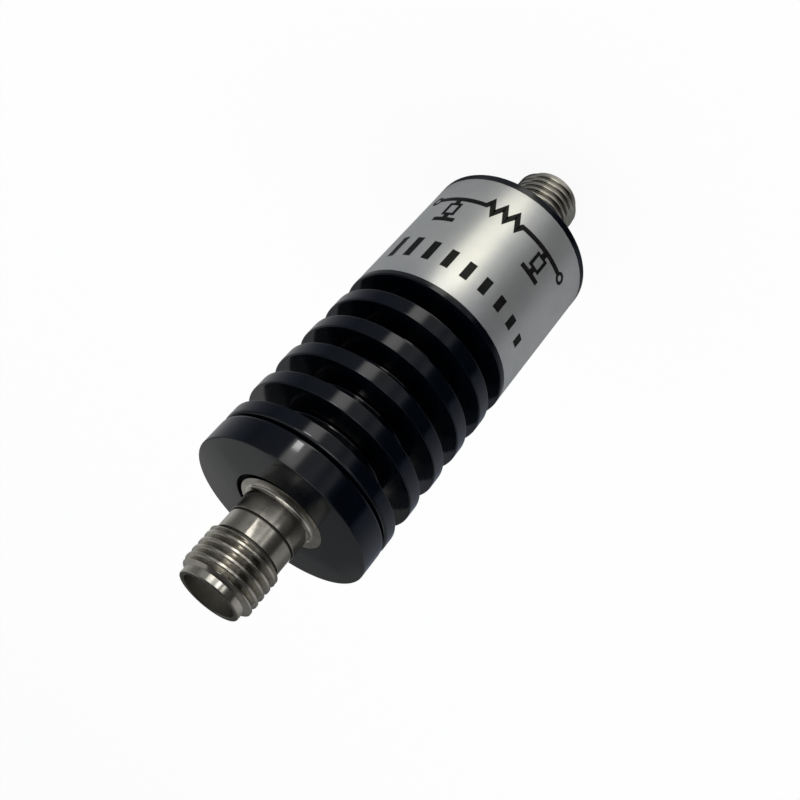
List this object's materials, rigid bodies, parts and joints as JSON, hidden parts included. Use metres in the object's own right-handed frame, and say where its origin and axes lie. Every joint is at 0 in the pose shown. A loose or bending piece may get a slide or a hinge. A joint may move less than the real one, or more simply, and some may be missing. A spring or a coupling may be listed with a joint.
{
  "type": "coaxial fixed attenuator",
  "caption": "Round in-line radio-frequency attenuator with a black finned heat sink, a silver label band and a threaded socket port on each end.",
  "frame": {"origin": "centre of the rear port's rim, on the axis, where the part stands", "axes": "+Z along the axis from the rear port to the front port; +Y and +X across it, the chip lying in the XZ plane"},
  "size_m": [0.0158, 0.0158, 0.0511],
  "materials": {
    "black_anodise": "black anodised aluminium, fine turned, semi-gloss",
    "label_foil": "satin silver foil with dark print",
    "port_steel": "passivated stainless steel, turned",
    "insulator_plastic": "off-white low-loss plastic",
    "contact_gold": "gold plated spring alloy",
    "holder_brass": "bare turned brass",
    "chip_ceramic": "bare film-chip ceramic"
  },
  "bodies": {
    "root": {"heatsink_body": "black_anodise", "front_end_cap": "black_anodise", "label_band": "label_foil", "front_port_shell": "port_steel", "rear_port_shell": "port_steel", "front_insulator": "insulator_plastic", "rear_insulator": "insulator_plastic", "front_contact": "contact_gold", "rear_contact": "contact_gold", "chip_holder_left": "holder_brass", "chip_holder_right": "holder_brass", "attenuator_chip": "chip_ceramic"}
  },
  "joints": []
}
